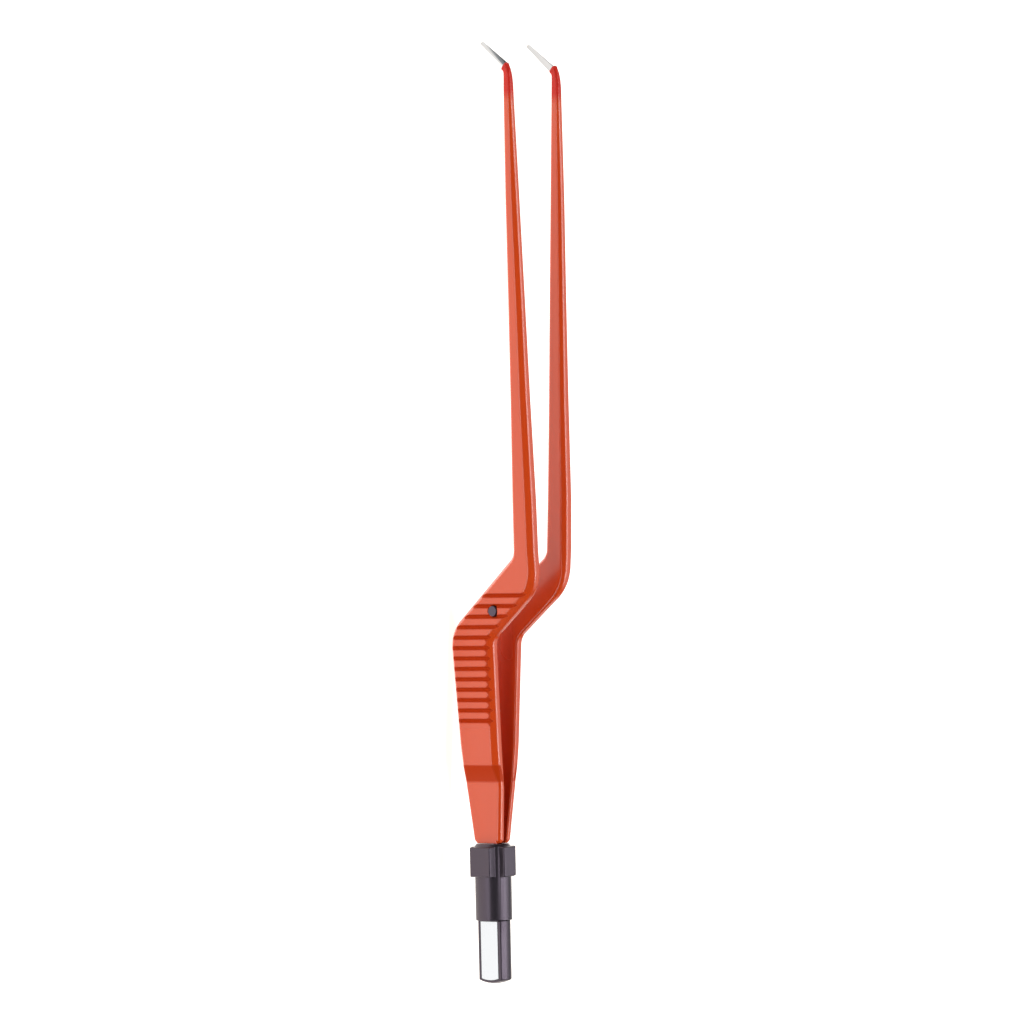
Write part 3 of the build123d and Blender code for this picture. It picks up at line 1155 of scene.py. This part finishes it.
@dataclass(frozen=True)
class Softbox:
    """One rectangular softbox: its centre and size in metres and its power in watts."""

    name: str
    place: tuple[float, float, float]
    size: tuple[float, float]
    power: float

    def hang(self) -> bpy.types.Object:
        """Hangs the softbox so that it faces the forceps.

        Returns:
            The light.
        """
        data = bpy.data.lights.new(self.name, "AREA")
        data.shape = "RECTANGLE"
        data.size, data.size_y = self.size
        data.energy = self.power
        light = bpy.data.objects.new(self.name, data)
        light.location = self.place
        light.rotation_mode = "QUATERNION"
        light.rotation_quaternion = Vector(self.place).to_track_quat("Z", "Y")
        bpy.context.scene.collection.objects.link(light)
        return light


@dataclass
class Studio:
    """The table, the soft lights, the room and the camera at the photograph's angle."""

    turn: float = 38.5
    lean: float = 0.0
    roll: float = 1.31
    distance: float = 1500.0
    pixels_per_radian: float = 6430.0
    aim: tuple[float, float, float] = (110.15, 8.1, 0.0)
    sensor: float = 36.0
    table_size: float = 6.0
    wall_top: tuple[float, float] = (0.03, 0.16)
    wall_strength: float = 0.9
    ceiling_strength: float = 0.07
    dark_end: tuple[float, float] = (0.5, 0.75)
    wall_colour: str = "#F2F3F5"
    view_reach: tuple[float, float] = (0.01, 20.0)
    softboxes: tuple[Softbox, ...] = (
        Softbox("far_softbox", (0.0, 0.95, 0.8), (1.6, 0.7), 3.2),
        Softbox("back_softbox", (0.0, 0.6, 1.05), (1.4, 0.3), 8.0),
        Softbox("near_softbox", (0.0, -1.0, 0.15), (2.4, 0.26), 6.2),
        Softbox("top_softbox", (0.0, 0.1, 1.3), (0.9, 0.35), 8.0),
    )

    def camera(self, frame: PlugFrame) -> bpy.types.Object:
        """Places the camera as the photograph was taken.

        Args:
            frame: The plug's frame.

        Returns:
            The camera, set as the scene's.
        """
        turn, lean, roll = (math.radians(a) for a in (self.turn, self.lean, self.roll))
        right = frame.up * math.cos(turn) + frame.across * math.sin(turn)
        level_back = frame.up * math.sin(turn) - frame.across * math.cos(turn)
        back = level_back * math.cos(lean) + frame.along * math.sin(lean)
        up = frame.along * math.cos(lean) - level_back * math.sin(lean)
        rolled_up = up * math.cos(roll) + right * math.sin(roll)
        rolled_right = right * math.cos(roll) - up * math.sin(roll)
        data = bpy.data.cameras.new("photo_camera")
        data.sensor_width = self.sensor
        data.lens = self.pixels_per_radian * self.sensor / PHOTO_PIXELS
        data.clip_start, data.clip_end = self.view_reach
        camera = bpy.data.objects.new("photo_camera", data)
        bpy.context.scene.collection.objects.link(camera)
        place = frame.point(*self.aim) + back * self.distance * MM
        axes = Matrix((rolled_right, rolled_up, back)).transposed().to_4x4()
        camera.matrix_world = Matrix.Translation(place) @ axes
        bpy.context.scene.camera = camera
        return camera

    def floor(self, finish: bpy.types.Material) -> bpy.types.Object:
        """Lays the table under the forceps.

        Args:
            finish: The table's material.

        Returns:
            The table.
        """
        half = self.table_size / 2
        mesh = bpy.data.meshes.new("table")
        mesh.from_pydata([(-half, -half, 0), (half, -half, 0), (half, half, 0),
                          (-half, half, 0)], [], [(0, 1, 2, 3)])
        mesh.materials.append(finish)
        table = bpy.data.objects.new("table", mesh)
        bpy.context.scene.collection.objects.link(table)
        return table

    def room(self) -> None:
        """Makes the room: a pale wall low down, dark above and beyond the tips."""
        world = bpy.data.worlds.new("studio_room")
        world.use_nodes = True
        tree = world.node_tree
        heading = add_node(tree, "ShaderNodeSeparateXYZ", inputs={
            0: add_node(tree, "ShaderNodeTexCoord").outputs["Generated"]})
        strength = add_node(tree, "ShaderNodeMapRange", {"interpolation_type": "SMOOTHSTEP"}, {
            "Value": heading.outputs["Z"],
            "From Min": self.wall_top[0],
            "From Max": self.wall_top[1],
            "To Min": self.wall_strength,
            "To Max": self.ceiling_strength,
        })
        end = add_node(tree, "ShaderNodeMapRange", {"interpolation_type": "SMOOTHSTEP"}, {
            "Value": heading.outputs["X"],
            "From Min": -self.dark_end[1],
            "From Max": -self.dark_end[0],
            "To Min": self.ceiling_strength,
            "To Max": 1.0,
        })
        strength = add_node(tree, "ShaderNodeMath", {"operation": "MULTIPLY"},
                            {0: strength.outputs[0], 1: end.outputs[0]})
        background = tree.nodes["Background"]
        background.inputs["Color"].default_value = linear(self.wall_colour)
        tree.links.new(strength.outputs[0], background.inputs["Strength"])
        bpy.context.scene.world = world

    def light(self) -> None:
        """Hangs the softboxes, makes the room and sets how the picture is shown."""
        for softbox in self.softboxes:
            softbox.hang()
        self.room()
        settings = bpy.context.scene.view_settings
        settings.view_transform = "Standard"
        settings.look = "None"


@dataclass
class Forceps:
    """The whole instrument on its frame."""

    nodes: dict[str, bpy.types.Object]
    frame: PlugFrame
    form: ArmForm = field(default_factory=ArmForm)
    weld_reach: float = 0.004
    edge_segments: int = 3
    edge_angle: float = 38.0

    def dress(
        self, node: str, finish: bpy.types.Material, edge: float = 0.0,
        clamp: bool = True,
    ) -> None:
        """Gives a carried-over node its finish and rounded edges.

        Args:
            node: The node's name.
            finish: Its material.
            edge: Width of the rounding along its edges, or 0 for none.
            clamp: Whether short edges nearby may narrow the rounding.
        """
        piece = self.nodes[node]
        if edge:
            weld = piece.modifiers.new("weld", "WELD")
            weld.merge_threshold = self.weld_reach * MM
            bevel = piece.modifiers.new("edges", "BEVEL")
            bevel.width = edge * MM
            bevel.segments = self.edge_segments
            bevel.limit_method = "ANGLE"
            bevel.angle_limit = math.radians(self.edge_angle)
            bevel.harden_normals = True
            bevel.use_clamp_overlap = clamp
        piece.data.materials.clear()
        piece.data.materials.append(finish)
        log.info("dressed %s with %s", node, finish.name)

    def build(self) -> None:
        """Builds the coats and the steel, and dresses every other piece."""
        coat = NylonCoat().make(self.frame)
        for side in Side:
            piece = Coat(side, self.form).build(self.frame, coat)
            log.info("built %s: %d faces", piece.name, len(piece.data.polygons))
        steel = SpringSteel().make()
        for side in Side:
            piece = Blade(side, self.form).build(self.frame, steel)
            log.info("built %s: %d faces", piece.name, len(piece.data.polygons))
        plated = PlatedContact().make()
        plastic = MouldedPlastic("moulded_pps").make()
        pin = MouldedPlastic("turned_acetal", body="#22222E", roughness=0.3).make()
        resin = MouldedPlastic("cast_epoxy", body="#1C1B1C", roughness=0.25).make()
        for side in Side:
            self.dress(f"{side.word}_contact", plated, edge=0.06)
        self.dress("plug_housing", plastic, edge=0.3)
        self.dress("contact_carrier", plastic, edge=0.25, clamp=False)
        self.dress("stop_pin", pin)
        self.dress("potting_seal", resin)


def main() -> None:
    logging.basicConfig(level=logging.INFO, format="%(message)s")
    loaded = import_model()
    frame = PlugFrame.from_record(loaded["record"], TONGUE_LENGTH)
    studio = Studio()
    studio.camera(frame)
    Forceps(loaded["nodes"], frame).build()
    studio.floor(GlowingFloor().make())
    studio.light()


if __name__ == "__main__":
    main()
